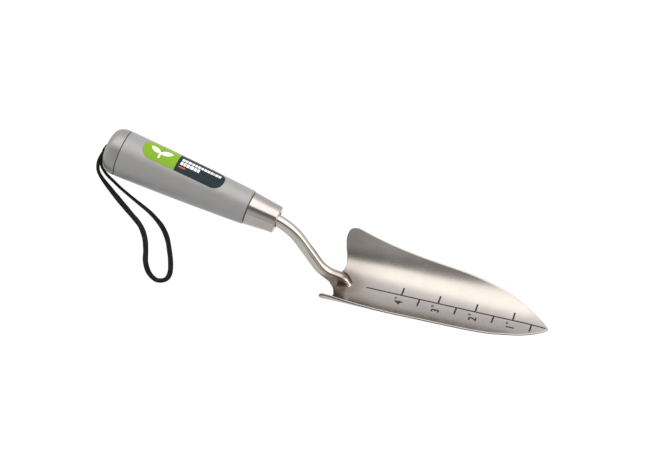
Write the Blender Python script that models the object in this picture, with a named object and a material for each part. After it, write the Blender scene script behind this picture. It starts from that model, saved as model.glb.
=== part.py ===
"""A hand trowel for transplanting, modelled as the separate pieces it is made from.

The trowel lies as it rests on a bench: on the blade's belly and the butt of the handle.
+X runs towards the blade's tip, +Z is up, and the mid-plane is y = 0. Lengths below are in
millimetres. The blade is drawn in a frame of its own, x along its centre line with 0 at the
zero of its depth scale and z square to it. The handle is drawn along its axis, with
s = 0 at the seam of the end cap.
"""
import math

import bmesh
import bpy
from mathutils import Matrix, Vector

MM = 0.001
GAP = 0.3

# How the trowel rests: the tip is raised by REST_TILT, and BLADE_ZERO is where the blade's
# own zero comes to lie.
REST_TILT = math.radians(22.6)
BLADE_ZERO = (156.9, 0.0, 59.83)

# Handle axis, given in the blade's frame.
HANDLE_DROP = math.radians(15.8)
SEAM = (-295.6, 75.6)

# Grip, cap and ferrule, all turned about the handle's axis.
GRIP_LENGTH = 91.4
GRIP_BUTT_RADIUS = 15.9
GRIP_FRONT_RADIUS = 11.8
GRIP_SWELL = 0.4
GRIP_BORE_RADIUS = 12.9
GRIP_CAVITY_END = 40.0
SPIGOT_RADIUS = 9.4
SPIGOT_TIP_RADIUS = 8.3
SPIGOT_END = 103.0
TANG_BORE_RADIUS = 4.7
FERRULE_START = 91.9
FERRULE_END = 112.4
FERRULE_BACK_RADIUS = 11.45
FERRULE_FRONT_RADIUS = 9.5
FERRULE_WALL = 1.2
FERRULE_MOUTH_RADIUS = 5.4
CAP_LENGTH = 11.3
CAP_SEAM_GAP = 0.4
CAP_PLUG_END = 9.0
CAP_HOLE_RADIUS = 3.6
CAP_FLAT_RADIUS = 7.0

# Neck: one bent rod from inside the grip down to the blade.
ROD_RADIUS = 4.2
TANG_START = 46.0
NECK_BEND_START = 107.0
NECK_STEEP = math.radians(58.5)
NECK_UPPER_BEND = 35.6
NECK_LOWER_BEND = 16.0
ROD_REST_HEIGHT = 4.6
ROD_NOSE_CENTRE = -142.5

# Pin through spigot and tang, hidden by the ferrule.
PIN_RADIUS = 1.5
PIN_LENGTH = 16.8
PIN_PLACE = 98.0

# Weld bead round the foot of the neck.
WELD_BACK = -150.0
WELD_HEIGHT = 4.0
WELD_REACH = 4.4

# Blade: distances run back from the tip along the centre line.
TIP = -1.5
SHEET = 1.3
BLADE_ROWS = 44
BLADE_HALF_COLUMNS = 13
HALF_WIDTH = ((0, 0.7), (3.5, 4.1), (8.5, 7.8), (18.5, 13.6), (38.5, 21.1), (58.5, 24.5),
              (88.5, 27.1), (118.5, 30.1), (147.0, 33.4))
EDGE_HEIGHT = ((0, -0.9), (8.5, 0.3), (28.5, 4.7), (58.5, 9.1), (98.5, 12.4), (118.5, 15.4),
               (147.0, 22.4))
CENTRE_HEIGHT = ((0, -0.9), (6.0, -0.35), (14.0, 0.0), (152.0, 0.0))
DISH_POWER = ((0, 2.0), (58.5, 2.3), (118.5, 2.8), (147.0, 3.2))
# Heel edge: where the blade starts, by distance from the centre line.
HEEL = ((0, -152.5), (1.7, -152.2), (3.0, -151.2), (5.5, -148.8), (10.0, -146.5),
        (15.0, -145.3), (20.0, -146.6), (25.0, -148.7), (28.5, -149.6), (31.0, -148.6),
        (32.6, -145.9), (33.4, -141.5))

# Label wrapped over the top of the grip.
LABEL_START = 12.3
LABEL_END = 70.8
LABEL_HALF_WIDTH = 7.9
LABEL_THICKNESS = 0.3
LABEL_CORNER = 7.0

# Lanyard: a leather lace that leaves the cap, lies in a loop and goes back into the cap.
LANYARD_RADIUS = 1.45
LANYARD_SPLIT = 1.65
LANYARD_SAG = 0.6
LANYARD_POINTS = 78
KNOT_RADIUS = 5.4
KNOT_PLACE = 15.5
# The route from the cap's hole and back, on the bench, in the resting frame. Its ends are
# worked out from the hole.
LANYARD_ROUTE = ((-157.5, -4.4, 12.0), (-157.5, -8.6, 11.1), (-156.6, -12.7, 9.7),
                 (-154.5, -16.3, 8.0), (-151.0, -18.5, 6.2), (-145.3, -20.5, 4.1),
                 (-138.6, -22.6, 2.4), (-131.2, -26.4, 1.8), (-121.8, -31.2, 1.7),
                 (-111.9, -36.6, 1.7), (-105.1, -43.9, 1.7), (-100.4, -52.4, 1.7),
                 (-96.6, -61.2, 1.7), (-91.0, -68.0, 1.7), (-84.4, -70.4, 1.7),
                 (-79.6, -66.8, 1.7), (-79.2, -60.6, 1.7), (-82.6, -51.9, 1.7),
                 (-87.5, -43.2, 1.7), (-92.9, -35.1, 1.7), (-100.3, -28.2, 1.7),
                 (-110.2, -23.2, 1.7), (-122.7, -19.9, 1.7), (-134.6, -16.6, 1.7),
                 (-142.7, -13.7, 1.7), (-148.7, -11.5, 1.9), (-153.9, -8.6, 3.2),
                 (-156.7, -5.7, 6.3), (-157.5, -3.1, 9.4))


def smooth_value(points, x):
    """The height at x of a smooth curve through points, which never overshoots them."""
    last = len(points) - 1
    x = min(max(x, points[0][0]), points[last][0])
    i = max(k for k in range(last) if points[k][0] <= x)
    steps = [(points[k + 1][1] - points[k][1]) / (points[k + 1][0] - points[k][0])
             for k in range(last)]

    def slope(k):
        if k == 0:
            return steps[0]
        if k == last:
            return steps[last - 1]
        before, after = steps[k - 1], steps[k]
        if before * after <= 0:
            return 0.0
        return 2 * before * after / (before + after)

    span = points[i + 1][0] - points[i][0]
    t = (x - points[i][0]) / span
    start, end = points[i][1], points[i + 1][1]
    return (start * (2 * t**3 - 3 * t**2 + 1) + end * (3 * t**2 - 2 * t**3)
            + span * slope(i) * (t**3 - 2 * t**2 + t) + span * slope(i + 1) * (t**3 - t**2))


def arc(centre, radius, start, end, steps):
    """Points on an arc, from one angle in degrees to another."""
    angles = [math.radians(start + (end - start) * k / steps) for k in range(steps + 1)]
    return [(centre[0] + radius * math.cos(a), centre[1] + radius * math.sin(a)) for a in angles]


def curve_through(points, count):
    """count points, evenly spaced, along a smooth curve through the given ones."""
    points = [Vector(p) for p in points]
    ends = [2 * points[0] - points[1]] + points + [2 * points[-1] - points[-2]]
    dense = []
    for a, b, c, d in zip(ends, ends[1:], ends[2:], ends[3:]):
        for k in range(24):
            t = k / 24
            dense.append(0.5 * (2 * b + (c - a) * t + (2 * a - 5 * b + 4 * c - d) * t**2
                                + (3 * b - a - 3 * c + d) * t**3))
    dense.append(points[-1])
    travelled = [0.0]
    for a, b in zip(dense, dense[1:]):
        travelled.append(travelled[-1] + (b - a).length)
    even = []
    i = 0
    for k in range(count):
        target = travelled[-1] * k / (count - 1)
        while i < len(dense) - 2 and travelled[i + 1] < target:
            i += 1
        step = travelled[i + 1] - travelled[i]
        even.append(dense[i].lerp(dense[i + 1], (target - travelled[i]) / step))
    return even


def material(name, color, roughness, metallic):
    made = bpy.data.materials.new(name)
    made.use_nodes = True
    shader = made.node_tree.nodes["Principled BSDF"]
    shader.inputs["Base Color"].default_value = (*color, 1)
    shader.inputs["Roughness"].default_value = roughness
    shader.inputs["Metallic"].default_value = metallic
    return made


def add_object(name, data, finish, parent=None):
    made = bpy.data.objects.new(name, data)
    bpy.context.scene.collection.objects.link(made)
    made.parent = parent
    if finish:
        data.materials.append(finish)
    return made


def mesh_object(name, bm, finish, parent, sharp=35):
    """An object from a bmesh in millimetres, shaded smooth but for its sharp edges."""
    bmesh.ops.scale(bm, vec=(MM, MM, MM), verts=bm.verts)
    bmesh.ops.recalc_face_normals(bm, faces=bm.faces)
    mesh = bpy.data.meshes.new(name)
    bm.to_mesh(mesh)
    bm.free()
    mesh.shade_smooth()
    mesh.set_sharp_from_angle(angle=math.radians(sharp))
    return add_object(name, mesh, finish, parent)


def turned(name, outline, sides, finish, parent):
    """A closed outline of (s, radius) points, spun about the handle's axis."""
    bm = bmesh.new()
    verts = [bm.verts.new((s, 0, radius)) for s, radius in outline]
    edges = [bm.edges.new((a, b)) for a, b in zip(verts, verts[1:] + verts[:1])]
    bmesh.ops.spin(bm, geom=verts + edges, cent=(0, 0, 0), axis=(1, 0, 0),
                   angle=2 * math.pi, steps=sides, use_merge=True)
    return mesh_object(name, bm, finish, parent)


def cross_hole(piece, place, radius, parent):
    """Cut a round hole through a piece from side to side."""
    bm = bmesh.new()
    turn = Matrix.Translation((place, 0, 0)) @ Matrix.Rotation(math.pi / 2, 4, "X")
    bmesh.ops.create_cone(bm, cap_ends=True, segments=16, radius1=radius, radius2=radius,
                          depth=60, matrix=turn)
    cutter = mesh_object(piece.name + "_hole_cutter", bm, None, parent)
    cutter.hide_render = True
    cutter.display_type = "WIRE"
    cut = piece.modifiers.new("cross_hole", "BOOLEAN")
    cut.object = cutter


def grip_radius(s):
    t = s / GRIP_LENGTH
    return GRIP_BUTT_RADIUS + (GRIP_FRONT_RADIUS - GRIP_BUTT_RADIUS) * t + GRIP_SWELL * 4 * t * (1 - t)


def build_grip(finish, parent):
    """Moulded grip: open at the butt, a solid core in front with the tang's bore."""
    steps = 14
    outline = [(GRIP_LENGTH * k / steps, grip_radius(GRIP_LENGTH * k / steps))
               for k in range(steps + 1)]
    outline += [(GRIP_LENGTH, SPIGOT_RADIUS), (SPIGOT_END - 0.8, SPIGOT_TIP_RADIUS),
                (SPIGOT_END, SPIGOT_TIP_RADIUS - 0.8), (SPIGOT_END, TANG_BORE_RADIUS),
                (GRIP_CAVITY_END, TANG_BORE_RADIUS), (GRIP_CAVITY_END, GRIP_BORE_RADIUS - 2.5),
                (GRIP_CAVITY_END - 2.5, GRIP_BORE_RADIUS), (0, GRIP_BORE_RADIUS)]
    grip = turned("grip_body", outline, 48, finish, parent)
    cross_hole(grip, PIN_PLACE, PIN_RADIUS + GAP, parent)


def build_cap(finish, parent):
    """Domed end cap, with a plug that presses into the grip and a hole for the lanyard."""
    plug = GRIP_BORE_RADIUS - GAP - 0.1
    rim = grip_radius(0)
    outline = [(-CAP_SEAM_GAP, plug), (-CAP_SEAM_GAP, rim - 0.2), (-CAP_SEAM_GAP - 0.2, rim),
               (-2.4, rim), (-4.8, rim - 0.25), (-6.9, rim - 0.9), (-8.5, rim - 1.95),
               (-9.7, rim - 3.4), (-10.6, rim - 5.2), (-11.1, CAP_FLAT_RADIUS + 1.6),
               (-CAP_LENGTH, CAP_FLAT_RADIUS), (-CAP_LENGTH, CAP_HOLE_RADIUS + 0.5),
               (-CAP_LENGTH + 0.5, CAP_HOLE_RADIUS), (CAP_PLUG_END, CAP_HOLE_RADIUS),
               (CAP_PLUG_END, plug - 1.0), (CAP_PLUG_END - 1.0, plug)]
    turned("end_cap", outline, 48, finish, parent)


def build_ferrule(finish, parent):
    """Tapered ferrule: it slides over the spigot, and its front rim turns in to the neck."""
    back, front, wall = FERRULE_BACK_RADIUS, FERRULE_FRONT_RADIUS, FERRULE_WALL
    bend = 1.7
    rim = arc((FERRULE_END - bend, front - bend), bend, 78, 0, 6)
    outline = [(FERRULE_START, back)] + rim
    outline += [(FERRULE_END, FERRULE_MOUTH_RADIUS), (FERRULE_END - wall, FERRULE_MOUTH_RADIUS),
                (FERRULE_END - wall, front - bend), (FERRULE_END - 2.2, front - wall),
                (FERRULE_START, max(back - wall, SPIGOT_RADIUS + GAP))]
    turned("ferrule", outline, 48, finish, parent)


def build_pin(finish, parent):
    bm = bmesh.new()
    turn = Matrix.Translation((PIN_PLACE, 0, 0)) @ Matrix.Rotation(math.pi / 2, 4, "X")
    bmesh.ops.create_cone(bm, cap_ends=True, segments=16, radius1=PIN_RADIUS,
                          radius2=PIN_RADIUS, depth=PIN_LENGTH, matrix=turn)
    mesh_object("tang_pin", bm, finish, parent)


def neck_path():
    """The rod's centre line in the mid-plane, as (x, z, heading below the x axis)."""
    along = (math.cos(HANDLE_DROP), -math.sin(HANDLE_DROP))
    path = []
    for k in range(5):
        s = TANG_START + (NECK_BEND_START - TANG_START) * k / 4
        path.append((SEAM[0] + along[0] * s, SEAM[1] + along[1] * s, HANDLE_DROP))
    x, z, heading = path[-1]
    steps = 10
    turn = (NECK_STEEP - HANDLE_DROP) / steps
    for k in range(1, steps + 1):
        now = heading + turn * k
        path.append((x + NECK_UPPER_BEND * (math.sin(now) - math.sin(heading)),
                     z - NECK_UPPER_BEND * (math.cos(heading) - math.cos(now)), now))
    x, z, heading = path[-1]
    drop = z - ROD_REST_HEIGHT - NECK_LOWER_BEND * (1 - math.cos(NECK_STEEP))
    x += drop / math.tan(NECK_STEEP)
    z -= drop
    path.append((x, z, heading))
    steps = 9
    for k in range(1, steps + 1):
        now = heading * (1 - k / steps)
        path.append((x + NECK_LOWER_BEND * (math.sin(heading) - math.sin(now)),
                     z - NECK_LOWER_BEND * (math.cos(now) - math.cos(heading)), now))
    return path


def build_neck(finish, parent, axis_parent):
    """Round rod swept along the neck's path, with a round nose on the blade."""
    sides = 20
    rings = [(x, z, heading, ROD_RADIUS) for x, z, heading in neck_path()]
    back = rings[0]
    rings.insert(0, (back[0] - 0.8 * math.cos(HANDLE_DROP), back[1] + 0.8 * math.sin(HANDLE_DROP),
                     HANDLE_DROP, ROD_RADIUS - 0.8))
    for angle in (0, 25, 50, 72):
        turn = math.radians(angle)
        rings.append((ROD_NOSE_CENTRE + ROD_RADIUS * math.sin(turn), ROD_REST_HEIGHT, 0.0,
                      ROD_RADIUS * math.cos(turn)))
    bm = bmesh.new()
    loops = []
    for x, z, heading, radius in rings:
        loop = []
        for k in range(sides):
            a = 2 * math.pi * k / sides
            lift = radius * math.sin(a)
            loop.append(bm.verts.new((x + lift * math.sin(heading), radius * math.cos(a),
                                      z + lift * math.cos(heading))))
        loops.append(loop)
    for one, two in zip(loops, loops[1:]):
        for k in range(sides):
            j = (k + 1) % sides
            bm.faces.new((one[k], one[j], two[j], two[k]))
    bm.faces.new(loops[0])
    bm.faces.new(loops[-1])
    neck = mesh_object("neck_rod", bm, finish, parent)
    cross_hole(neck, PIN_PLACE, PIN_RADIUS + GAP, axis_parent)


def blade_height(x, y):
    """Height of the blade's upper face at a place in its own frame."""
    back = TIP - x
    middle = smooth_value(CENTRE_HEIGHT, back)
    edge = smooth_value(EDGE_HEIGHT, back)
    across = min(abs(y) / smooth_value(HALF_WIDTH, back), 1.0)
    return middle + (edge - middle) * across ** smooth_value(DISH_POWER, back)


def build_blade(finish, parent):
    """Pressed sheet: rows from the heel edge to the tip, thickened downwards."""
    heel_width = HEEL[-1][0]
    bm = bmesh.new()
    rows = []
    columns = [math.sin(math.pi / 2 * k / BLADE_HALF_COLUMNS) ** 1.15
               for k in range(BLADE_HALF_COLUMNS + 1)]
    columns = [-c for c in columns[:0:-1]] + columns
    for i in range(BLADE_ROWS + 1):
        run = (i / BLADE_ROWS) ** 0.94
        row = []
        for share in columns:
            start = smooth_value(HEEL, abs(share) * heel_width)
            x = start + (TIP - start) * run
            y = share * smooth_value(HALF_WIDTH, TIP - x)
            row.append(bm.verts.new((x, y, blade_height(x, y))))
        rows.append(row)
    for one, two in zip(rows, rows[1:]):
        for k in range(len(columns) - 1):
            bm.faces.new((one[k], two[k], two[k + 1], one[k + 1]))
    blade = mesh_object("blade", bm, finish, parent, 50)
    if blade.data.polygons[0].normal.z < 0:
        blade.data.flip_normals()
    sheet = blade.modifiers.new("sheet", "SOLIDIFY")
    sheet.thickness = SHEET * MM
    sheet.offset = -1
    sheet.use_even_offset = True


def build_weld(finish, parent):
    """Horseshoe bead: a fillet between the rod's foot and the blade, round the nose."""
    plan = [(x, 90) for x in (WELD_BACK, -147.5, -145.0)]
    plan += [(ROD_NOSE_CENTRE, 90 - 15 * k) for k in range(13)]
    plan += [(x, -90) for x in (-145.0, -147.5, WELD_BACK)]
    inner = ROD_RADIUS + GAP
    bm = bmesh.new()
    loops = []
    for x, angle in plan:
        a = math.radians(angle)
        out = Vector((math.cos(a), math.sin(a)))
        reach = WELD_REACH * (0.55 if x == WELD_BACK else 1.0)
        section = [(inner * math.cos(math.radians(t)), ROD_REST_HEIGHT + inner * math.sin(math.radians(t)))
                   for t in (-58, -44, -30, -14)]
        top = section[-1]
        section.append((top[0] + 0.35 * reach, top[1] - 0.52 * WELD_HEIGHT))
        section.append((top[0] + reach, None))
        section.append((0.5 * (top[0] + reach + section[0][0]), None))
        loop = []
        for radius, height in section:
            px, py = x + out.x * radius, out.y * radius
            floor = blade_height(px, py) + GAP + 0.05
            z = floor if height is None else max(height, floor)
            if radius == top[0] + reach:
                z += 0.3
            loop.append(bm.verts.new((px, py, z)))
        loops.append(loop)
    for one, two in zip(loops, loops[1:]):
        for k in range(len(one)):
            j = (k + 1) % len(one)
            bm.faces.new((one[k], one[j], two[j], two[k]))
    bm.faces.new(loops[0])
    bm.faces.new(loops[-1])
    mesh_object("neck_weld", bm, finish, parent, 60)


def build_label(finish, parent):
    """Thin label wrapped over the top of the grip, with round corners."""
    lengthwise, crosswise = 22, 12
    span = LABEL_END - LABEL_START
    bm = bmesh.new()
    shells = []
    for lift in (GAP, GAP + LABEL_THICKNESS):
        shell = []
        for i in range(lengthwise + 1):
            s = LABEL_START + span * (1 - math.cos(math.pi * i / lengthwise)) / 2
            from_end = min(s - LABEL_START, LABEL_END - s, LABEL_CORNER)
            cut = LABEL_CORNER - math.sqrt(max(LABEL_CORNER**2 - (LABEL_CORNER - from_end) ** 2, 0))
            half = LABEL_HALF_WIDTH - cut
            row = []
            for k in range(crosswise + 1):
                turn = half * (2 * k / crosswise - 1) / grip_radius(s)
                radius = grip_radius(s) + lift
                row.append(bm.verts.new((s, radius * math.sin(turn), radius * math.cos(turn))))
            shell.append(row)
        shells.append(shell)
        for one, two in zip(shell, shell[1:]):
            for k in range(crosswise):
                bm.faces.new((one[k], one[k + 1], two[k + 1], two[k]))
    rims = [e for e in bm.edges if e.is_boundary]
    bmesh.ops.bridge_loops(bm, edges=rims)
    mesh_object("handle_label", bm, finish, parent)


def build_knot(finish, parent):
    """Stopper knot inside the grip, larger than the cap's hole."""
    bm = bmesh.new()
    shape = Matrix.Translation((KNOT_PLACE, 0, 0)) @ Matrix.Diagonal((1.0, 1.0, 0.86, 1.0))
    bmesh.ops.create_icosphere(bm, subdivisions=3, radius=KNOT_RADIUS, matrix=shape)
    mesh_object("lanyard_knot", bm, finish, parent)


def build_lanyard(finish, axis):
    """Tube along the lace, from the knot out of the cap, round its loop and back."""
    def in_hole(s, side):
        return axis @ (Vector((s, side * LANYARD_SPLIT, -LANYARD_SAG)) * MM) / MM

    inside = (KNOT_PLACE - KNOT_RADIUS - 0.6, 4.0, -4.0, -CAP_LENGTH - 0.6)
    route = [in_hole(s, -1) for s in inside]
    route += [Vector(p) for p in LANYARD_ROUTE]
    route += [in_hole(s, 1) for s in reversed(inside)]
    points = curve_through(route, LANYARD_POINTS)
    curve = bpy.data.curves.new("lanyard", "CURVE")
    curve.dimensions = "3D"
    curve.bevel_depth = LANYARD_RADIUS * MM
    curve.bevel_resolution = 2
    curve.use_fill_caps = True
    line = curve.splines.new("POLY")
    line.points.add(len(points) - 1)
    for slot, place in zip(line.points, points):
        slot.co = (*(place * MM), 1)
    add_object("lanyard", curve, finish)
    length = sum((b - a).length for a, b in zip(points, points[1:]))
    print(f"lanyard length {length:.1f} mm")


def main():
    for old in list(bpy.data.objects):
        bpy.data.objects.remove(old, do_unlink=True)
    steel = (0.60, 0.58, 0.56)
    rest = add_object("rest_pose", None, None)
    rest.location = Vector(BLADE_ZERO) * MM
    rest.rotation_euler = (0, -REST_TILT, 0)
    axis = add_object("handle_axis", None, None, rest)
    axis.location = Vector((SEAM[0], 0, SEAM[1])) * MM
    axis.rotation_euler = (0, HANDLE_DROP, 0)
    bpy.context.view_layer.update()

    build_blade(material("brushed_blade", steel, 0.32, 1.0), rest)
    build_neck(material("polished_neck", (0.62, 0.59, 0.56), 0.2, 1.0), rest, axis)
    build_weld(material("dressed_weld", steel, 0.3, 1.0), rest)
    build_ferrule(material("polished_ferrule", (0.64, 0.61, 0.59), 0.22, 1.0), axis)
    build_grip(material("silver_grip", (0.36, 0.36, 0.36), 0.42, 0.3), axis)
    build_cap(material("silver_cap", (0.38, 0.38, 0.37), 0.42, 0.3), axis)
    build_label(material("label_film", (0.2, 0.45, 0.04), 0.35, 0.0), axis)
    build_pin(material("steel_pin", steel, 0.35, 1.0), axis)
    build_knot(material("knotted_lace", (0.02, 0.016, 0.015), 0.6, 0.0), axis)
    build_lanyard(material("leather_lace", (0.02, 0.016, 0.015), 0.55, 0.0), axis.matrix_world)


main()
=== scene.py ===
"""Hand trowel for transplanting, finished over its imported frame.

The trowel lies on a bench on the blade's belly and the butt of its handle. The blade and the
neck are drawn in the blade's own frame, x along its centre line with 0 at the zero of the
depth scale. The grip, cap, ferrule and label are drawn about the handle's axis, with s = 0 at
the seam of the end cap. Both frames are in millimetres, and each finished piece is settled
onto the bench in metres.
"""
import math

import bpy
from mathutils import Matrix, Vector


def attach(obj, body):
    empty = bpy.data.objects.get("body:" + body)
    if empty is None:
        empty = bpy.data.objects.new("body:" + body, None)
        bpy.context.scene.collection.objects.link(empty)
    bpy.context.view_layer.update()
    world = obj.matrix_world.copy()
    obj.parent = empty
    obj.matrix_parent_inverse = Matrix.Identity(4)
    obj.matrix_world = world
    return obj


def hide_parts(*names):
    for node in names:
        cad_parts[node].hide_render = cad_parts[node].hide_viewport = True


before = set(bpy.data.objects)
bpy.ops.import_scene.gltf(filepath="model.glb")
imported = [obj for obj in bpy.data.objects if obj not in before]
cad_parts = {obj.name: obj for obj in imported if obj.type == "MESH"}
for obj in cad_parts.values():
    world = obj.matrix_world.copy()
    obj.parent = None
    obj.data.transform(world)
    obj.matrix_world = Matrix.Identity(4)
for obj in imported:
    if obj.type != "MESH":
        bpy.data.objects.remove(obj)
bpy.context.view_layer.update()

MM = 0.001

# How the trowel rests, and where the handle's axis leaves from.
REST_TILT = math.radians(22.6)
BLADE_ZERO = (156.9, 0.0, 59.83)
HANDLE_DROP = math.radians(15.8)
SEAM = (-295.6, 75.6)
BENCH = Matrix.Scale(MM, 4)
BLADE_FRAME = BENCH @ Matrix.Translation(BLADE_ZERO) @ Matrix.Rotation(-REST_TILT, 4, "Y")
HANDLE_FRAME = (BLADE_FRAME @ Matrix.Translation((SEAM[0], 0, SEAM[1]))
                @ Matrix.Rotation(HANDLE_DROP, 4, "Y"))

# Grip, cap and ferrule.
GRIP_LENGTH = 91.4
GRIP_BUTT_RADIUS = 15.9
GRIP_FRONT_RADIUS = 11.8
GRIP_SWELL = 0.4
GRIP_BORE_RADIUS = 12.9
GRIP_CAVITY_END = 40.0
GRIP_CAVITY_BEVEL = 2.5
GRIP_EDGE = 0.35
SPIGOT_RADIUS = 9.4
SPIGOT_TIP_RADIUS = 8.3
SPIGOT_EDGE = 0.8
SPIGOT_END = 103.0
TANG_BORE_RADIUS = 4.7
FERRULE_START = 91.9
FERRULE_END = 112.4
FERRULE_BACK_RADIUS = 11.45
FERRULE_FRONT_RADIUS = 9.5
FERRULE_WALL = 1.2
FERRULE_BEND = 1.3
FERRULE_TAPER_LENGTH = 16.6
FERRULE_MOUTH_RADIUS = 5.4
FERRULE_MOUTH_EDGE = 0.5
CAP_LENGTH = 11.3
CAP_SEAM_GAP = 0.4
CAP_PLUG_END = 9.0
CAP_PLUG_SLACK = 0.4
CAP_PLUG_BEVEL = 1.0
CAP_HOLE_RADIUS = 3.6
CAP_HOLE_EDGE = 0.7

# Neck rod and its welded foot.
ROD_RADIUS = 4.2
TANG_START = 46.0
NECK_BEND_START = 107.0
NECK_STEEP = math.radians(58.5)
NECK_UPPER_BEND = 35.6
NECK_LOWER_BEND = 16.0
ROD_REST_HEIGHT = 4.6
FOOT_END = -136.2
# A blob of weld at the rod's end, a little to the near side.
BLOB_X, BLOB_Y = -138.7, -1.3

# Blade: distances run back from the tip.
TIP = -1.5
SHEET = 1.3
HALF_WIDTH = ((0, 0.7), (3.5, 4.1), (8.5, 7.8), (18.5, 13.6), (38.5, 21.1), (58.5, 24.5),
              (88.5, 27.1), (118.5, 30.1), (147.0, 33.4))
EDGE_HEIGHT = ((0, -0.9), (8.5, 0.3), (28.5, 4.7), (58.5, 9.1), (98.5, 12.4), (118.5, 15.4),
               (147.0, 22.4))
CENTRE_HEIGHT = ((0, -0.9), (6.0, -0.35), (14.0, 0.0), (152.0, 0.0))
DISH_POWER = ((0, 2.0), (58.5, 2.3), (118.5, 2.8), (147.0, 3.2))
HEEL = ((0, -152.5), (1.7, -152.2), (3.0, -151.2), (5.5, -148.8), (10.0, -146.5),
        (15.0, -145.3), (20.0, -146.6), (25.0, -148.7), (28.5, -149.6), (31.0, -148.6),
        (32.6, -145.9), (33.4, -141.5))

# Label.
LABEL_START = 12.3
LABEL_END = 70.8
LABEL_HALF_WIDTH = 7.9
LABEL_CORNER = 7.0
LABEL_LIFT = 0.12
COLOUR_SPLIT = 24.9
PRINT_START = 27.2
PRINT_GAP = 0.45

# Depth scale, printed on the blade.
INCH = 25.4
SCALE_START, SCALE_END = -126.2, -3.2
LINE_HALF_WIDTH = 0.46
TICK_HALF_WIDTH = 0.56
TICK_LENGTH = 6.7
INK_LIFT = 0.06

# Lanyard. LACE_REST is the height at which its route lies on the bench.
LACE_POINTS = 300
LACE_REST = 1.7
LACE_WIDTH = 3.5
LACE_THICKNESS = 2.0
LACE_SPLIT = 1.65
LACE_SAG = 0.6
KNOT_RADIUS = 5.4
KNOT_PLACE = 15.5
LACE_ROUTE = ((-157.5, -4.4, 12.0), (-157.5, -8.6, 11.1), (-156.6, -12.7, 9.7),
              (-154.5, -16.3, 8.0), (-151.0, -18.5, 6.2), (-145.3, -20.5, 4.1),
              (-138.6, -22.6, 2.4), (-131.2, -26.4, 1.8), (-121.8, -31.2, 1.7),
              (-111.9, -36.6, 1.7), (-105.1, -43.9, 1.7), (-100.4, -52.4, 1.7),
              (-96.6, -61.2, 1.7), (-91.0, -68.0, 1.7), (-84.4, -70.4, 1.7),
              (-79.6, -66.8, 1.7), (-79.2, -60.6, 1.7), (-82.6, -51.9, 1.7),
              (-87.5, -43.2, 1.7), (-92.9, -35.1, 1.7), (-100.3, -28.2, 1.7),
              (-110.2, -23.2, 1.7), (-122.7, -19.9, 1.7), (-134.6, -16.6, 1.7),
              (-142.7, -13.7, 1.7), (-148.7, -11.5, 1.9), (-153.9, -8.6, 3.2),
              (-156.7, -5.7, 6.3), (-157.5, -3.1, 9.4))


# ---------------------------------------------------------------- small tools

def smooth_value(points, x):
    """The height at x of a smooth curve through points, which never overshoots them."""
    last = len(points) - 1
    x = min(max(x, points[0][0]), points[last][0])
    i = max(k for k in range(last) if points[k][0] <= x)
    steps = [(points[k + 1][1] - points[k][1]) / (points[k + 1][0] - points[k][0])
             for k in range(last)]

    def slope(k):
        if k == 0:
            return steps[0]
        if k == last:
            return steps[last - 1]
        before, after = steps[k - 1], steps[k]
        if before * after <= 0:
            return 0.0
        return 2 * before * after / (before + after)

    span = points[i + 1][0] - points[i][0]
    t = (x - points[i][0]) / span
    start, end = points[i][1], points[i + 1][1]
    return (start * (2 * t**3 - 3 * t**2 + 1) + end * (3 * t**2 - 2 * t**3)
            + span * slope(i) * (t**3 - 2 * t**2 + t) + span * slope(i + 1) * (t**3 - t**2))


def ease(x, start, end):
    """0 before start, 1 after end, and smooth between."""
    t = min(max((x - start) / (end - start), 0.0), 1.0)
    return t * t * (3 - 2 * t)


def arc(centre, radius, start, end, steps):
    """Points on an arc, from one angle in degrees to another."""
    angles = [math.radians(start + (end - start) * k / steps) for k in range(steps + 1)]
    return [(centre[0] + radius * math.cos(a), centre[1] + radius * math.sin(a)) for a in angles]


def curve_through(points, count):
    """count points, evenly spaced, along a smooth curve through the given ones."""
    points = [Vector(p) for p in points]
    ends = [2 * points[0] - points[1]] + points + [2 * points[-1] - points[-2]]
    dense = []
    for a, b, c, d in zip(ends, ends[1:], ends[2:], ends[3:]):
        for k in range(24):
            t = k / 24
            dense.append(0.5 * (2 * b + (c - a) * t + (2 * a - 5 * b + 4 * c - d) * t**2
                                + (3 * b - a - 3 * c + d) * t**3))
    dense.append(points[-1])
    travelled = [0.0]
    for a, b in zip(dense, dense[1:]):
        travelled.append(travelled[-1] + (b - a).length)
    even = []
    i = 0
    for k in range(count):
        target = travelled[-1] * k / (count - 1)
        while i < len(dense) - 2 and travelled[i + 1] < target:
            i += 1
        step = travelled[i + 1] - travelled[i]
        even.append(dense[i].lerp(dense[i + 1], (target - travelled[i]) / step))
    return even


def pick(*pieces):
    """Select these pieces alone, the first of them active."""
    for other in bpy.context.selected_objects:
        other.select_set(False)
    for piece in pieces:
        piece.select_set(True)
    if pieces:
        bpy.context.view_layer.objects.active = pieces[0]


def joined(name, pieces):
    """Several pieces made into one."""
    pick(*pieces)
    bpy.ops.object.join()
    whole = bpy.context.object
    whole.name = name
    whole.data.name = name
    return whole


def edit(piece, *steps):
    """Run edit-mode steps, (operator, settings), with all of the piece selected."""
    pick(piece)
    bpy.ops.object.mode_set(mode="EDIT")
    bpy.ops.mesh.select_all(action="SELECT")
    for operator, settings in steps:
        operator(**settings)
    bpy.ops.object.mode_set(mode="OBJECT")


def settle(piece, place, smooth=40):
    """Shade the piece smooth but for its sharp edges, and settle it on the bench in metres."""
    pick(piece)
    bpy.ops.object.shade_smooth_by_angle(angle=math.radians(smooth))
    piece.data.transform(place)
    piece.matrix_world = Matrix.Identity(4)
    piece.data.update()


def dress(piece, finish, slot, *nodes):
    """Give a piece its finish, put it on the trowel, and let it stand for its CAD nodes."""
    piece.data.materials.clear()
    piece.data.materials.append(finish)
    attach(piece, "root")
    if nodes:
        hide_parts(*nodes)


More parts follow.
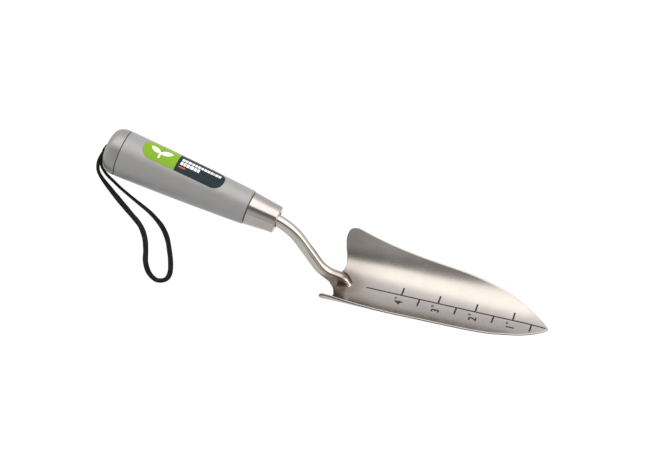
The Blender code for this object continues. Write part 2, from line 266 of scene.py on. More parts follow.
def skin(name, lengthwise, crosswise, place, closed=False):
    """A grid with its points where place(u, v) says, merged where they meet if closed."""
    pick()
    bpy.ops.mesh.primitive_grid_add(x_subdivisions=lengthwise, y_subdivisions=crosswise, size=1)
    piece = bpy.context.object
    piece.name = name
    piece.data.name = name
    for vert in piece.data.vertices:
        vert.co = place(vert.co.x + 0.5, vert.co.y + 0.5)
    if closed:
        edit(piece, (bpy.ops.mesh.remove_doubles, {"threshold": 0.0005}),
             (bpy.ops.mesh.normals_make_consistent, {"inside": False}))
    return piece


def close_ends(piece):
    """Fill the open ends of a tube."""
    pick(piece)
    bpy.ops.object.mode_set(mode="EDIT")
    bpy.ops.mesh.select_mode(type="EDGE")
    bpy.ops.mesh.select_all(action="DESELECT")
    bpy.ops.mesh.select_non_manifold()
    bpy.ops.mesh.edge_face_add()
    bpy.ops.mesh.select_all(action="SELECT")
    bpy.ops.mesh.normals_make_consistent(inside=False)
    bpy.ops.object.mode_set(mode="OBJECT")


def turned(name, outline, sides):
    """A ring of points on an outline of (s, radius), spun about the handle's axis."""
    pick()
    bpy.ops.mesh.primitive_circle_add(vertices=len(outline))
    piece = bpy.context.object
    piece.name = name
    piece.data.name = name
    for vert, (s, radius) in zip(piece.data.vertices, outline):
        vert.co = (s, 0, radius)
    edit(piece,
         (bpy.ops.mesh.spin, {"steps": sides, "angle": 2 * math.pi, "center": (0, 0, 0),
                              "axis": (1, 0, 0)}),
         (bpy.ops.mesh.remove_doubles, {"threshold": 0.001}),
         (bpy.ops.mesh.normals_make_consistent, {"inside": False}))
    return piece


# ---------------------------------------------------------------- finishes

class Wire:
    """A shader socket that takes part in arithmetic: each operation adds its Math node."""

    def __init__(self, finish, socket):
        self.finish = finish
        self.socket = socket

    def maths(self, operation, *values):
        return self.finish.node("ShaderNodeMath", dict(enumerate(values)), operation=operation)

    def __add__(self, other):
        return self.maths("ADD", self, other)

    __radd__ = __add__

    def __sub__(self, other):
        return self.maths("SUBTRACT", self, other)

    def __rsub__(self, other):
        return self.maths("SUBTRACT", other, self)

    def __mul__(self, other):
        return self.maths("MULTIPLY", self, other)

    __rmul__ = __mul__

    def __truediv__(self, other):
        return self.maths("DIVIDE", self, other)

    def __pow__(self, other):
        return self.maths("POWER", self, other)

    def __abs__(self):
        return self.maths("ABSOLUTE", self)

    def highest(self, other):
        return self.maths("MAXIMUM", self, other)

    def root(self):
        return self.maths("SQRT", self)

    def within(self, start, end):
        """0 at start, 1 at end, smooth between, in either direction."""
        return self.finish.node("ShaderNodeMapRange",
                                {"Value": self, "From Min": start, "From Max": end},
                                interpolation_type="SMOOTHSTEP")


class Finish:
    """A material, its shader and the nodes that feed it."""

    def __init__(self, name, colour, roughness, metallic=0.0, **sockets):
        self.material = bpy.data.materials.new(name)
        self.material.use_nodes = True
        self.tree = self.material.node_tree
        self.shader = self.tree.nodes["Principled BSDF"]
        self.feed("Base Color", (*colour, 1))
        self.feed("Roughness", roughness)
        self.feed("Metallic", metallic)
        for key, value in sockets.items():
            self.feed(key.replace("_", " "), value)

    @classmethod
    def of_world(cls, world):
        made = cls.__new__(cls)
        made.tree = world.node_tree
        made.shader = made.tree.nodes["Background"]
        return made

    def feed(self, key, value):
        """Set one of the shader's sockets to a value or a wire."""
        if isinstance(value, Wire):
            self.tree.links.new(value.socket, self.shader.inputs[key])
        else:
            self.shader.inputs[key].default_value = value

    def node(self, kind, inputs=None, output=0, **settings):
        made = self.tree.nodes.new(kind)
        stops = settings.pop("stops", None)
        for key, value in settings.items():
            setattr(made, key, value)
        if stops:
            ramp = made.color_ramp.elements
            while len(ramp) < len(stops):
                ramp.new(0.5)
            for slot, (place, colour) in zip(ramp, stops):
                slot.position = place
                slot.color = (*colour, 1)
        for key, value in (inputs or {}).items():
            if isinstance(value, Wire):
                self.tree.links.new(value.socket, made.inputs[key])
            else:
                made.inputs[key].default_value = value
        return Wire(self, made.outputs[output])

    def place(self, frame_of=None):
        """Object coordinates in millimetres, in one of the drawing frames."""
        where = self.node("ShaderNodeTexCoord", output="Object")
        turn = (frame_of or BENCH).inverted()
        return self.node("ShaderNodeMapping",
                         {"Vector": where, "Location": turn.to_translation(),
                          "Rotation": turn.to_euler(), "Scale": turn.to_scale()})

    def parts(self, vector):
        split = self.node("ShaderNodeSeparateXYZ", {"Vector": vector})
        outputs = split.socket.node.outputs
        return [Wire(self, outputs[k]) for k in range(3)]

    def stretched(self, vector, x, y, z):
        return self.node("ShaderNodeVectorMath", {0: vector, 1: (x, y, z)}, operation="MULTIPLY")

    def noise(self, vector, scale, detail=2.0, rough=0.5):
        return self.node("ShaderNodeTexNoise", {"Vector": vector, "Scale": scale,
                                                "Detail": detail, "Roughness": rough})

    def mix(self, amount, one, two):
        """One colour over another."""
        def four(value):
            return value if isinstance(value, Wire) else (*value, 1)
        return self.node("ShaderNodeMix", {"Factor": amount, 6: four(one), 7: four(two)},
                         output=2, data_type="RGBA")

    def bump(self, height, distance, strength):
        self.feed("Normal", self.node("ShaderNodeBump", {"Height": height, "Distance": distance,
                                                         "Strength": strength}, output="Normal"))


def steel(name, colour, roughness, frame_of, run=(0.02, 1.0, 1.0), clouds=0.05, brush=0.05,
          heat_and_shade_weight=0.0, paint_rim_and_heel_shade=False, painted_mouth_shade=False):
    """Stainless steel: brush lines along x and faint clouds.

    One weight adds temper colour by the weld, with painted shade on the low, near side of the
    foot; one switch paints shade along the blade's lower rim and toward its heel; another paints
    shade in a ring round the ferrule's hole.
    """
    made = Finish(name, colour, roughness, metallic=1.0)
    where = made.place(frame_of)
    lines = made.noise(made.stretched(where, *run), 9.0, 3.0, 0.6)
    cloud = made.noise(where, 0.09, 3.0, 0.6)
    fine = made.noise(where, 0.8, 2.0, 0.5)
    made.feed("Roughness", roughness + (cloud - 0.5) * clouds * 2 + (lines - 0.5) * brush * 2)
    dull = [0.9 * c for c in colour]
    base = made.mix((lines * 0.45 + cloud * 0.4 + fine * 0.15).within(0.35, 0.65), dull, colour)
    if heat_and_shade_weight:
        # Part temper colour by the weld, part painted shade darkening the low, near side of the
        # foot.
        x, y, z = made.parts(made.place(BLADE_FRAME))
        away = ((x + 146.0) ** 2.0 * 0.6 + y * y + z * z * 0.4).root()
        low = z.within(9.5, 5.5).highest(x.within(-154.0, -148.0) * 0.5)
        off_blob = ((x - BLOB_X) ** 2.0 + (y - BLOB_Y) ** 2.0).root().within(1.3, 2.8)
        heat_and_painted_shade = away.within(16.0, 8.0) * low * off_blob * (cloud * 0.8 + 0.6) * heat_and_shade_weight
        if paint_rim_and_heel_shade:
            # Painted shade: darker and browner toward the heel, dimming the reflection there.
            heel = x.within(-108.0, -148.0) * (cloud * 0.6 + 0.3)
            base = made.mix(heel, base, (0.20, 0.178, 0.158))
        base = made.mix(heat_and_painted_shade, base, (0.16, 0.13, 0.105))
    if paint_rim_and_heel_shade:
        # Painted shade: a near-black band on the underside along the rim, where it would reflect
        # shaded floor.
        rim = made.node("ShaderNodeAttribute", output="Fac", attribute_name="rim")
        wear_and_rim_shade = rim.within(0.1, -0.15) * rim.within(-3.2, -1.4)
        base = made.mix(wear_and_rim_shade * 0.95, base, (0.05, 0.048, 0.046))
    if painted_mouth_shade:
        # Painted shade: a dark ring inside the ferrule's hole.
        _, y, z = made.parts(where)
        base = made.mix((y * y + z * z).root().within(6.3, 5.7), base, (0.02, 0.018, 0.018))
    made.feed("Base Color", base)
    made.bump(lines * 0.6 + fine * 0.4, 0.02 * MM, 0.5)
    return made.material


def coat(name, colour, frame_of, metallic=0.3, roughness=0.4):
    """Satin silver-grey coat over moulded plastic, with a fine flake."""
    made = Finish(name, colour, roughness, metallic=metallic)
    where = made.place(frame_of)
    flake = made.noise(where, 2.2, 3.0, 0.7)
    cloud = made.noise(where, 0.12, 3.0, 0.55)
    made.feed("Base Color", made.mix((flake * 0.6 + cloud * 0.4).within(0.3, 0.7),
                                     [0.93 * c for c in colour], [1.05 * c for c in colour]))
    made.feed("Roughness", roughness - 0.03 + cloud * 0.08 + flake * 0.05)
    made.bump(flake, 0.03 * MM, 0.4)
    return made.material


def leather():
    """Black lace: fine grain, a mottled tone and a faint sheen."""
    made = Finish("lace_leather", (0.004, 0.0035, 0.0035), 0.5, Specular_IOR_Level=0.07)
    where = made.place()
    grain = made.node("ShaderNodeTexVoronoi", {"Vector": where, "Scale": 2.6}, output="Distance")
    mottle = made.noise(where, 0.5, 3.0, 0.6)
    made.feed("Base Color", made.mix(mottle.within(0.35, 0.75), (0.0035, 0.003, 0.003),
                                     (0.013, 0.011, 0.010)))
    made.feed("Roughness", 0.42 + mottle * 0.2)
    made.bump(grain * 0.6 + mottle * 0.4, 0.12 * MM, 0.6)
    return made.material


def label_film():
    """Printed film: green to the left, navy to the right, with generic marks."""
    made = Finish("label_film", (0.2, 0.45, 0.04), 0.4, Specular_IOR_Level=0.13)
    across, along, _ = made.parts(made.node("ShaderNodeUVMap", uv_map="UVMap"))
    s = across * (LABEL_END - LABEL_START)
    y = (along - 0.5) * (2 * LABEL_HALF_WIDTH)
    grain = made.noise(made.place(HANDLE_FRAME), 1.6, 2.0)
    green = made.mix(grain.within(0.3, 0.7), (0.148, 0.275, 0.012), (0.162, 0.30, 0.016))
    navy = made.mix(grain.within(0.3, 0.7), (0.004, 0.012, 0.018), (0.007, 0.017, 0.025))
    base = made.mix(s.within(COLOUR_SPLIT - 0.05, COLOUR_SPLIT + 0.05), green, navy)

    def box(left, right, low, high):
        across_box = (abs(s - (left + right) / 2) - (right - left) / 2).within(0.06, -0.06)
        return across_box * (abs(y - (low + high) / 2) - (high - low) / 2).within(0.06, -0.06)

    def leaf(centre_s, centre_y, tilt, length, width):
        c, n = math.cos(tilt), math.sin(tilt)
        along_leaf = (s - centre_s) * c + (y - centre_y) * n
        over_leaf = (y - centre_y) * c - (s - centre_s) * n
        bow = 1.0 - (along_leaf / (length / 2)) ** 2.0
        return (abs(over_leaf) - bow * (width / 2)).within(0.08, -0.08)

    # A sprout: two leaves on a stem.
    sprout = leaf(8.7, 1.0, 2.75, 8.6, 4.0).highest(leaf(16.4, 1.2, 0.45, 9.0, 4.0))
    sprout = sprout.highest(box(11.9, 13.0, -4.6, 0.4))
    base = made.mix(sprout, base, (0.82, 0.85, 0.78))

    def words(y_low, height, widths):
        """A line of print, as plain blocks."""
        line = None
        left = PRINT_START
        for width in widths:
            block = box(left, left + width, y_low, y_low + height)
            line = block if line is None else line.highest(block)
            left += width + PRINT_GAP
        return line

    print_rows = words(1.5, 2.5, (1.8, 1.8, 2.0, 1.9, 1.6, 1.8, 1.7, 2.0, 1.9, 1.7, 0.7, 1.9, 1.8))
    print_rows = print_rows.highest(words(-2.2, 2.9, (1.7, 1.8, 2.0, 2.5, 1.7, 1.7)))
    base = made.mix(print_rows, base, (0.62, 0.64, 0.65))
    base = made.mix(box(27.0, 31.6, -4.4, -3.5), base, (0.50, 0.09, 0.02))
    made.feed("Base Color", base)
    made.feed("Roughness", 0.30 + grain * 0.1)
    return made.material


def scale_ink():
    made = Finish("scale_ink", (0.02, 0.018, 0.018), 0.6, Specular_IOR_Level=0.2)
    wear_and_rim_shade = made.noise(made.place(BLADE_FRAME), 1.4, 3.0, 0.6)
    made.feed("Base Color", made.mix(wear_and_rim_shade.within(0.4, 0.8), (0.012, 0.011, 0.011),
                                     (0.035, 0.031, 0.029)))
    made.feed("Roughness", 0.5 + wear_and_rim_shade * 0.2)
    return made.material


# ---------------------------------------------------------------- camera, light and floor

# Where the camera stands, in metres, and the directions of its right and up.
CAMERA_PLACE = (-0.0314, -0.6886, 0.7873)
CAMERA_RIGHT = (0.8832, 0.3283, 0.3349)
CAMERA_UP = (-0.4682, 0.6588, 0.5889)
LENS = 86.14
SENSOR_WIDTH = 36


def build_camera():
    lens = bpy.data.cameras.new("camera")
    lens.lens = LENS
    lens.sensor_width = SENSOR_WIDTH
    camera = bpy.data.objects.new("camera", lens)
    bpy.context.scene.collection.objects.link(camera)
    right, up = Vector(CAMERA_RIGHT).normalized(), Vector(CAMERA_UP)
    up = (up - right * up.dot(right)).normalized()
    turn = Matrix((right, up, right.cross(up))).transposed().to_4x4()
    camera.matrix_world = Matrix.Translation(CAMERA_PLACE) @ turn
    bpy.context.scene.camera = camera


# Studio light round the X axis, by angle: 0 at the near horizon, 0.5 overhead, 1 at the far
# horizon. A long bright panel hangs overhead, with a dark gap in front of it.
STUDIO = ((0.0, (0.84, 0.82, 0.82)), (0.14, (0.88, 0.86, 0.86)), (0.21, (0.44, 0.43, 0.43)),
          (0.26, (0.29, 0.28, 0.28)), (0.312, (0.30, 0.29, 0.28)), (0.346, (0.95, 0.92, 0.88)),
          (0.385, (2.95, 2.9, 2.75)), (0.60, (2.95, 2.9, 2.78)), (0.70, (1.66, 1.62, 1.62)),
          (0.80, (1.20, 1.17, 1.21)), (1.0, (0.98, 0.96, 0.99)))


def build_studio():
    scene = bpy.context.scene
    scene.view_settings.view_transform = "Standard"
    world = bpy.data.worlds.new("studio")
    world.use_nodes = True
    scene.world = world
    light = Finish.of_world(world)
    x, y, z = light.parts(light.node("ShaderNodeTexCoord", output="Generated"))
    round_angle = z.maths("ARCTAN2", z, y * -1.0) / math.pi
    peak = max(max(colour) for _, colour in STUDIO)
    panel = light.node("ShaderNodeValToRGB", {"Fac": round_angle},
                       stops=[(at, [c / peak for c in colour]) for at, colour in STUDIO])
    light.tree.links.new(panel.socket, light.shader.inputs["Color"])
    light.shader.inputs["Strength"].default_value = peak

    pick()
    bpy.ops.mesh.primitive_plane_add(size=12)
    floor = bpy.context.object
    floor.name = "floor"
    made = Finish("floor", (0.05, 0.05, 0.05), 1.0)
    made.feed("Emission Color", (1, 1, 1, 1))
    made.feed("Emission Strength", 0.97)
    floor.data.materials.append(made.material)


# ---------------------------------------------------------------- lanyard

def lace_line():
    """The lace's centre line in millimetres on the bench, from the knot round to the knot."""
    to_bench = BENCH.inverted() @ HANDLE_FRAME

    def in_hole(s, side):
        return to_bench @ Vector((s, side * LACE_SPLIT, -LACE_SAG))

    inside = (KNOT_PLACE - KNOT_RADIUS - 0.6, 4.0, -4.0, -CAP_LENGTH - 0.6)
    route = [in_hole(s, -1) for s in inside]
    route += [Vector(p) for p in LACE_ROUTE]
    route += [in_hole(s, 1) for s in reversed(inside)]
    return curve_through(route, LACE_POINTS)


# How the lace is turned along its length: at 0 it lies flat, at 90 it stands on its edge.
LACE_TURN = ((0.0, 90), (0.09, 90), (0.12, 70), (0.147, 50), (0.174, 22), (0.20, 4),
             (0.227, -16), (0.30, -24), (0.36, -8), (0.41, 10), (0.468, 18), (0.50, 34),
             (0.55, 58), (0.63, 64), (0.656, 78), (0.69, 96), (0.73, 112), (0.78, 124),
             (0.86, 122), (0.90, 100), (0.93, 90), (1.0, 90))


def build_lace(finish):
    count = LACE_POINTS
    smoothing_rounds = 12
    line = lace_line()
    tangents = [(line[min(k + 1, count - 1)] - line[max(k - 1, 0)]).normalized()
                for k in range(count)]
    sides = [t.cross(Vector((0, 0, 1))).normalized() for t in tangents]
    for _ in range(smoothing_rounds):
        sides = [(sides[max(k - 1, 0)] + sides[k] + sides[min(k + 1, count - 1)]).normalized()
                 for k in range(count)]
    centres, frames = [], []
    for k in range(count):
        turn = math.radians(smooth_value(LACE_TURN, k / (count - 1)))
        side = (sides[k] - tangents[k] * sides[k].dot(tangents[k])).normalized()
        rise = side.cross(tangents[k])
        wide = side * math.cos(turn) + rise * math.sin(turn)
        thick = tangents[k].cross(wide)
        half = abs(wide.z) * LACE_WIDTH / 2 + abs(thick.z) * LACE_THICKNESS / 2
        # Where it lies on the bench, a turned lace sinks or rises until it just clears it.
        lower = (LACE_REST - 0.15 - half) * (1 - ease(line[k].z, 1.9, 5.0))
        centres.append(line[k] - Vector((0, 0, lower)))
        frames.append((wide, thick))

    def place(u, v):
        k = min(round(u * (count - 1)), count - 1)
        a = 2 * math.pi * v
        c, n = math.cos(a), math.sin(a)
        wave = 1 + 0.03 * math.sin(u * 61) + 0.02 * math.sin(u * 173 + 1)
        over = math.copysign(abs(c) ** 0.5, c) * LACE_WIDTH / 2 * wave
        up = math.copysign(abs(n) ** 0.5, n) * LACE_THICKNESS / 2
        wide, thick = frames[k]
        return centres[k] + wide * over + thick * up

    lace = skin("lanyard_lace", count - 1, 20, place, closed=True)
    close_ends(lace)
    settle(lace, BENCH, 60)
    dress(lace, finish, "lace_leather", "lanyard")
    path = [c * MM for c in centres]
    length = sum((b - a).length for a, b in zip(path, path[1:]))


# ---------------------------------------------------------------- handle

def grip_radius(s):
    t = s / GRIP_LENGTH
    taper = GRIP_BUTT_RADIUS + (GRIP_FRONT_RADIUS - GRIP_BUTT_RADIUS) * t
    return taper + GRIP_SWELL * 4 * t * (1 - t)


def build_grip(finish):
    steps = 40
    edge = GRIP_EDGE
    side_length = GRIP_LENGTH - 0.95  # less the rounding at both ends
    outline = [(0, grip_radius(0) - edge)]
    outline += [(edge - edge * math.cos(a), grip_radius(0) - edge + edge * math.sin(a))
                for a in (0.5, 1.1)]
    side = [edge + side_length * k / steps for k in range(steps + 1)]
    outline += [(s, grip_radius(s)) for s in side]
    front = outline[-1]
    outline += [(front[0] + 0.4, front[1] - 0.18), (GRIP_LENGTH, front[1] - 0.62),
                (GRIP_LENGTH, SPIGOT_RADIUS), (SPIGOT_END - SPIGOT_EDGE, SPIGOT_TIP_RADIUS),
                (SPIGOT_END, SPIGOT_TIP_RADIUS - SPIGOT_EDGE), (SPIGOT_END, TANG_BORE_RADIUS),
                (GRIP_CAVITY_END, TANG_BORE_RADIUS),
                (GRIP_CAVITY_END, GRIP_BORE_RADIUS - GRIP_CAVITY_BEVEL),
                (GRIP_CAVITY_END - GRIP_CAVITY_BEVEL, GRIP_BORE_RADIUS), (0, GRIP_BORE_RADIUS)]
    grip = turned("grip", outline, 128)
    settle(grip, HANDLE_FRAME)
    dress(grip, finish, "grip_coat", "grip_body")


def build_cap(finish):
    plug = GRIP_BORE_RADIUS - CAP_PLUG_SLACK
    seam = -CAP_SEAM_GAP
    rim = grip_radius(0)
    dome = ((-0.85, rim), (-2.4, rim), (-4.8, rim - 0.27), (-6.9, rim - 0.93),
            (-8.5, rim - 2.0), (-9.7, rim - 3.45), (-10.6, rim - 5.25), (-11.1, 8.7),
            (-CAP_LENGTH, 7.2))
    curve = curve_through([(s, r, 0) for s, r in dome], 36)
    outline = [(seam, plug), (seam, rim - 0.4), (seam - 0.1, rim - 0.12)]
    outline += [(p.x, p.y) for p in curve]
    edge = CAP_HOLE_EDGE
    outline += [(-CAP_LENGTH, CAP_HOLE_RADIUS + edge)]
    outline += arc((-CAP_LENGTH + edge, CAP_HOLE_RADIUS + edge), edge, 225, 270, 3)
    outline += [(CAP_PLUG_END, CAP_HOLE_RADIUS), (CAP_PLUG_END, plug - CAP_PLUG_BEVEL),
                (CAP_PLUG_END - CAP_PLUG_BEVEL, plug)]
    cap = turned("cap", outline, 128)
    settle(cap, HANDLE_FRAME)
    dress(cap, finish, "cap_coat", "end_cap")


def build_ferrule(finish):
    back, front, wall = FERRULE_BACK_RADIUS, FERRULE_FRONT_RADIUS, FERRULE_WALL
    bend, edge = FERRULE_BEND, FERRULE_MOUTH_EDGE
    steps = 10
    outline = [(FERRULE_START + 0.05, back - 0.3), (FERRULE_START + 0.3, back - 0.03)]
    outline += [(FERRULE_START + 0.3 + FERRULE_TAPER_LENGTH * k / steps,
                 back - 0.03 + (front - back + 0.12) * k / steps) for k in range(1, steps)]
    outline += arc((FERRULE_END - bend, front - bend), bend, 80, 0, 10)
    outline += [(FERRULE_END, FERRULE_MOUTH_RADIUS + edge)]
    outline += arc((FERRULE_END - edge, FERRULE_MOUTH_RADIUS + edge), edge, 315, 270, 2)
    outline += [(FERRULE_END - wall, FERRULE_MOUTH_RADIUS), (FERRULE_END - wall, front - 1.7),
                (FERRULE_END - 2.2, front - wall), (FERRULE_START + 0.05, SPIGOT_RADIUS + 0.85)]
    ferrule = turned("ferrule_sleeve", outline, 128)
    settle(ferrule, HANDLE_FRAME)
    dress(ferrule, finish, "ferrule_steel", "ferrule")


def build_label(finish):
    """Film over the top of the grip, its outline rounded at the ends."""
    span = LABEL_END - LABEL_START

    def place(u, v):
        s = LABEL_START + span * u
        from_end = min(s - LABEL_START, LABEL_END - s, LABEL_CORNER)
        cut = LABEL_CORNER - math.sqrt(max(LABEL_CORNER**2 - (LABEL_CORNER - from_end) ** 2, 0))
        limit = LABEL_HALF_WIDTH - cut
        y = min(max(LABEL_HALF_WIDTH * (2 * v - 1), -limit), limit)
        radius = grip_radius(s) + LABEL_LIFT
        turn = y / radius
        return (s, radius * math.sin(turn), radius * math.cos(turn))

    label = skin("label", 240, 48, place)
    settle(label, HANDLE_FRAME)
    dress(label, finish, "label_film", "handle_label")


# ---------------------------------------------------------------- neck and blade

def neck_path():
    """The rod's centre line in the mid-plane, as (x, z, heading below the x axis)."""
    along = (math.cos(HANDLE_DROP), -math.sin(HANDLE_DROP))
    path = []
    for k in range(13):
        s = TANG_START + (NECK_BEND_START - TANG_START) * k / 12
        path.append((SEAM[0] + along[0] * s, SEAM[1] + along[1] * s, HANDLE_DROP))
    x, z, heading = path[-1]
    steps = 24
    turn = (NECK_STEEP - HANDLE_DROP) / steps
    for k in range(1, steps + 1):
        now = heading + turn * k
        path.append((x + NECK_UPPER_BEND * (math.sin(now) - math.sin(heading)),
                     z - NECK_UPPER_BEND * (math.cos(heading) - math.cos(now)), now))
    x, z, heading = path[-1]
    drop = z - ROD_REST_HEIGHT - NECK_LOWER_BEND * (1 - math.cos(NECK_STEEP))
    run = drop / math.tan(NECK_STEEP)
    path += [(x + run * k / 16, z - drop * k / 16, heading) for k in range(1, 17)]
    x, z, heading = path[-1]
    steps = 24
    for k in range(1, steps + 1):
        now = heading * (1 - k / steps)
        path.append((x + NECK_LOWER_BEND * (math.sin(heading) - math.sin(now)),
                     z - NECK_LOWER_BEND * (math.cos(now) - math.cos(heading)), now))
    return path


# The welded foot by place along the blade: height of its ridge, half width of the rod's end,
# and width of the weld's skirt on the far and the near side.
FOOT_RIDGE = ((-156, 10.9), (-152, 9.5), (-149, 8.7), (-146, 8.1), (-143, 7.1), (-141, 5.6),
              (-139.2, 3.4), (-137.8, 1.4), (-136.4, 0.0))
FOOT_BODY = ((-152, 4.2), (-144, 4.0), (-141, 3.6), (-139, 3.1), (-137.6, 2.4), (-136.3, 1.2))
FAR_SKIRT = ((-156, 4.6), (-152, 7.2), (-149.5, 9.4), (-147.2, 10.6), (-143.9, 10.0),
             (-141, 7.9), (-138.2, 5.3), (-136.9, 3.4), (-136.3, 2.0))
NEAR_SKIRT = ((-156, 4.6), (-152, 4.8), (-148.3, 5.6), (-145.8, 6.8), (-143, 6.1), (-140.2, 4.9),
              (-137.7, 3.4), (-136.8, 2.4), (-136.3, 1.8))


def blade_height(x, y):
    """Height of the blade's upper face at a place in its own frame."""
    back = TIP - x
    middle = smooth_value(CENTRE_HEIGHT, back)
    edge = smooth_value(EDGE_HEIGHT, back)
    across = min(abs(y) / smooth_value(HALF_WIDTH, back), 1.0)
    return middle + (edge - middle) * across ** smooth_value(DISH_POWER, back)


def build_neck(finish):
    """The rod, swept down from the ferrule, with its end melted into the blade."""
    path = neck_path()
    last_x = path[-1][0]
    path += [(last_x + (FOOT_END - last_x) * k / 20, ROD_REST_HEIGHT, 0.0)
             for k in range(1, 21)]
    count = len(path)
    half_ring = 30

    def hat(x, q, side):
        """The foot's section: round on top, then a hollow fillet out to the skirt's rim."""
        ridge = smooth_value(FOOT_RIDGE, x)
        body = smooth_value(FOOT_BODY, x)
        skirt = smooth_value(FAR_SKIRT if side > 0 else NEAR_SKIRT, x)
        rise = min(body, ridge * 0.9)
        shoulder, round_share = math.radians(60), 0.45
        if q < round_share:
            turn = shoulder * q / round_share
            y, high = body * math.sin(turn), ridge - rise * (1 - math.cos(turn))
        else:
            start = body * math.sin(shoulder)
            top = ridge - rise * (1 - math.cos(shoulder))
            slope = body * math.cos(shoulder) / max(rise * math.sin(shoulder), 0.01)
            knee = min(start + top * slope, start + (skirt - start) * 0.6)
            t = min((q - round_share) / 0.3, 1.0)
            y = start * (1 - t) ** 2 + 2 * knee * t * (1 - t) + skirt * t * t
            high = top * (1 - t) ** 2
        y *= 1 - max(q - 0.75, 0) / 0.25
        at = max(x, smooth_value(HEEL, y) + 0.5) if q > 0.3 else x
        at = x + (at - x) * ease(q, 0.3, 0.62)
        off_blob = math.hypot((at - BLOB_X) / 1.5, (side * y - BLOB_Y) / 1.7)
        high += 0.9 * math.exp(-off_blob**2) * (1 - ease(q, 0.7, 0.75))
        return at, y, blade_height(at, y) - 0.12 + high - 0.6 * ease(q, 0.74, 0.85)

    def place(u, v):
        x, z, heading = path[min(round(u * (count - 1)), count - 1)]
        q = abs(2 * v - 1)
        side = 1 if v > 0.5 else -1
        angle = math.pi * q
        lift = ROD_RADIUS * math.cos(angle)
        rod = Vector((x + lift * math.sin(heading), side * ROD_RADIUS * math.sin(angle),
                      z + lift * math.cos(heading)))
        melt = ease(x, -156.5, -148.5)
        if melt <= 0:
            return rod
        at, y, high = hat(x, q, side)
        return rod.lerp(Vector((at, side * y, high)), melt)

    neck = skin("neck", count - 1, 2 * half_ring, place, closed=True)
    close_ends(neck)
    settle(neck, BLADE_FRAME, 60)
    dress(neck, finish, "neck_steel", "neck_rod", "neck_weld")


def rim_first(length, step):
    """Places from 0 to length, close together at both ends, where the sheet's rim is rounded."""
    near = [0.0, 0.05, 0.17, 0.36, 0.65, 1.1, 1.8]
    rest = length - 2 * near[-1]
    count = max(2, round(rest / step))
    middle = [near[-1] + rest * k / count for k in range(1, count)]
    return near + middle + [length - d for d in reversed(near)]


def build_blade(finish):
    """Two faces of one pressed sheet that meet in a rounded rim."""
    heel_width = HEEL[-1][0]
    typical_length = 148
    shares = [2 * d / (2 * heel_width) - 1 for d in rim_first(2 * heel_width, 0.85)]
    runs = [d / typical_length for d in rim_first(typical_length, 1.0)]
    half_sheet = SHEET / 2

    def sheet_point(u, v, face):
        """A point on one face, with its distance from the rim along the sheet."""
        share = shares[round(v * (len(shares) - 1))]
        run = runs[round(u * (len(runs) - 1))]
        start = smooth_value(HEEL, abs(share) * heel_width)
        x = start + (TIP - start) * run
        back = TIP - x
        half = smooth_value(HALF_WIDTH, back)
        y = share * half
        inner = y * 0.996
        slope_y = (blade_height(x, inner + 0.05) - blade_height(x, inner - 0.05)) / 0.1
        slope_x = (blade_height(x + 0.2, inner) - blade_height(x - 0.2, inner)) / 0.4
        away = min((half - abs(y)) * math.hypot(1, slope_y), x - start, back)
        rest = half_sheet - min(away, half_sheet)
        swell = math.sqrt(max(half_sheet**2 - rest**2, 0))
        normal = Vector((-slope_x, -slope_y, 1)).normalized()
        place = Vector((x, y, blade_height(x, y))) + normal * (face * swell - half_sheet)
        return place, away

    faces = []
    for face in (1, -1):
        piece = skin("blade_scoop", len(runs) - 1, len(shares) - 1, lambda u, v: (u, v, 0))
        rim = piece.data.attributes.new("rim", "FLOAT", "POINT")
        for vert, value in zip(piece.data.vertices, rim.data):
            vert.co, away = sheet_point(vert.co.x, vert.co.y, face)
            value.value = away * face
        faces.append(piece)
    blade = joined("blade_scoop", faces)
    edit(blade, (bpy.ops.mesh.remove_doubles, {"threshold": 0.002}),
         (bpy.ops.mesh.normals_make_consistent, {"inside": False}))
    settle(blade, BLADE_FRAME, 70)
    dress(blade, finish, "blade_steel", "blade")


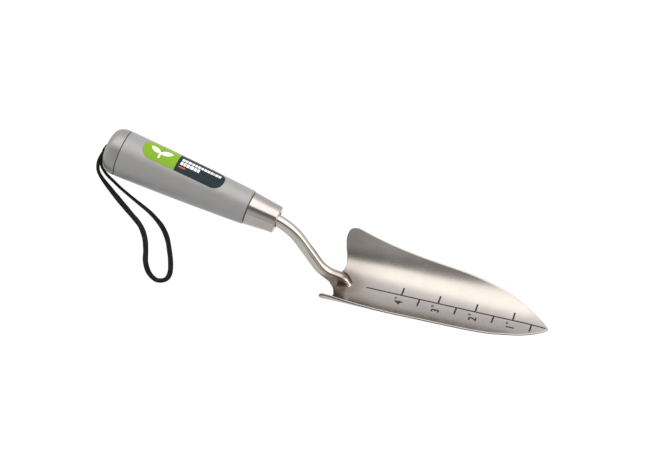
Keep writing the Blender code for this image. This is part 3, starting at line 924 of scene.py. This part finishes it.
def build_scale(finish):
    """The printed depth scale: a line, ticks each half inch, and numbers each inch."""
    pieces = []

    def bar(x0, x1, y0, y1):
        def place(u, v):
            x, y = x0 + (x1 - x0) * u, y0 + (y1 - y0) * v
            return (x, y, blade_height(x, y) + INK_LIFT)
        long = max(2, int((x1 - x0) / 2))
        pieces.append(skin("bar", long, 6, place))

    def tick(inches, low, high):
        bar(-INCH * inches - TICK_HALF_WIDTH, -INCH * inches + TICK_HALF_WIDTH, low, high)

    bar(SCALE_START, SCALE_END, -LINE_HALF_WIDTH, LINE_HALF_WIDTH)
    for k in (1, 2, 3, 4):
        tick(k, LINE_HALF_WIDTH, TICK_LENGTH)
        tick(k - 0.5, -TICK_LENGTH, -LINE_HALF_WIDTH)

    def figure(text, size, weight, x, y):
        pick()
        bpy.ops.object.text_add()
        made = bpy.context.object
        made.data.body = text
        made.data.size = size
        made.data.align_x = "CENTER"
        made.data.align_y = "CENTER"
        made.data.offset = weight
        bpy.ops.object.convert(target="MESH")
        made = bpy.context.object
        edit(made, (bpy.ops.mesh.subdivide, {"number_cuts": 2}))
        for vert in made.data.vertices:
            px, py = x - vert.co.y, y + vert.co.x
            vert.co = (px, py, blade_height(px, py) + INK_LIFT)
        pieces.append(made)

    for k in (1, 2, 3, 4):
        figure(str(k), 7.6, 0.19, -INCH * k + 0.2, -7.2)
        figure('"', 6.4, 0.05, -INCH * k - 1.0, -3.4)
    scale = joined("depth_scale", pieces)
    settle(scale, BLADE_FRAME)
    dress(scale, finish, "label_film")


# ---------------------------------------------------------------- assembly

build_camera()
lace_finish = leather()
build_lace(lace_finish)
build_studio()
build_blade(steel("blade_steel", (0.375, 0.35, 0.332), 0.27, BLADE_FRAME, heat_and_shade_weight=0.6,
                  paint_rim_and_heel_shade=True))
build_scale(scale_ink())
build_neck(steel("neck_steel", (0.44, 0.41, 0.385), 0.10, BLADE_FRAME, run=(0.3, 1, 0.3),
                 heat_and_shade_weight=1.0))
build_ferrule(steel("ferrule_steel", (0.375, 0.345, 0.332), 0.13, HANDLE_FRAME, painted_mouth_shade=True))
build_grip(coat("grip_coat", (0.248, 0.246, 0.246), HANDLE_FRAME))
build_cap(coat("cap_coat", (0.25, 0.246, 0.24), HANDLE_FRAME, metallic=0.7, roughness=0.36))
build_label(label_film())
pin_finish = steel("pin_steel", (0.6, 0.6, 0.6), 0.35, BLADE_FRAME)
for node, hidden_finish in (("lanyard_knot", lace_finish), ("tang_pin", pin_finish)):
    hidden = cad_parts[node].data
    hidden.materials.clear()
    hidden.materials.append(hidden_finish)
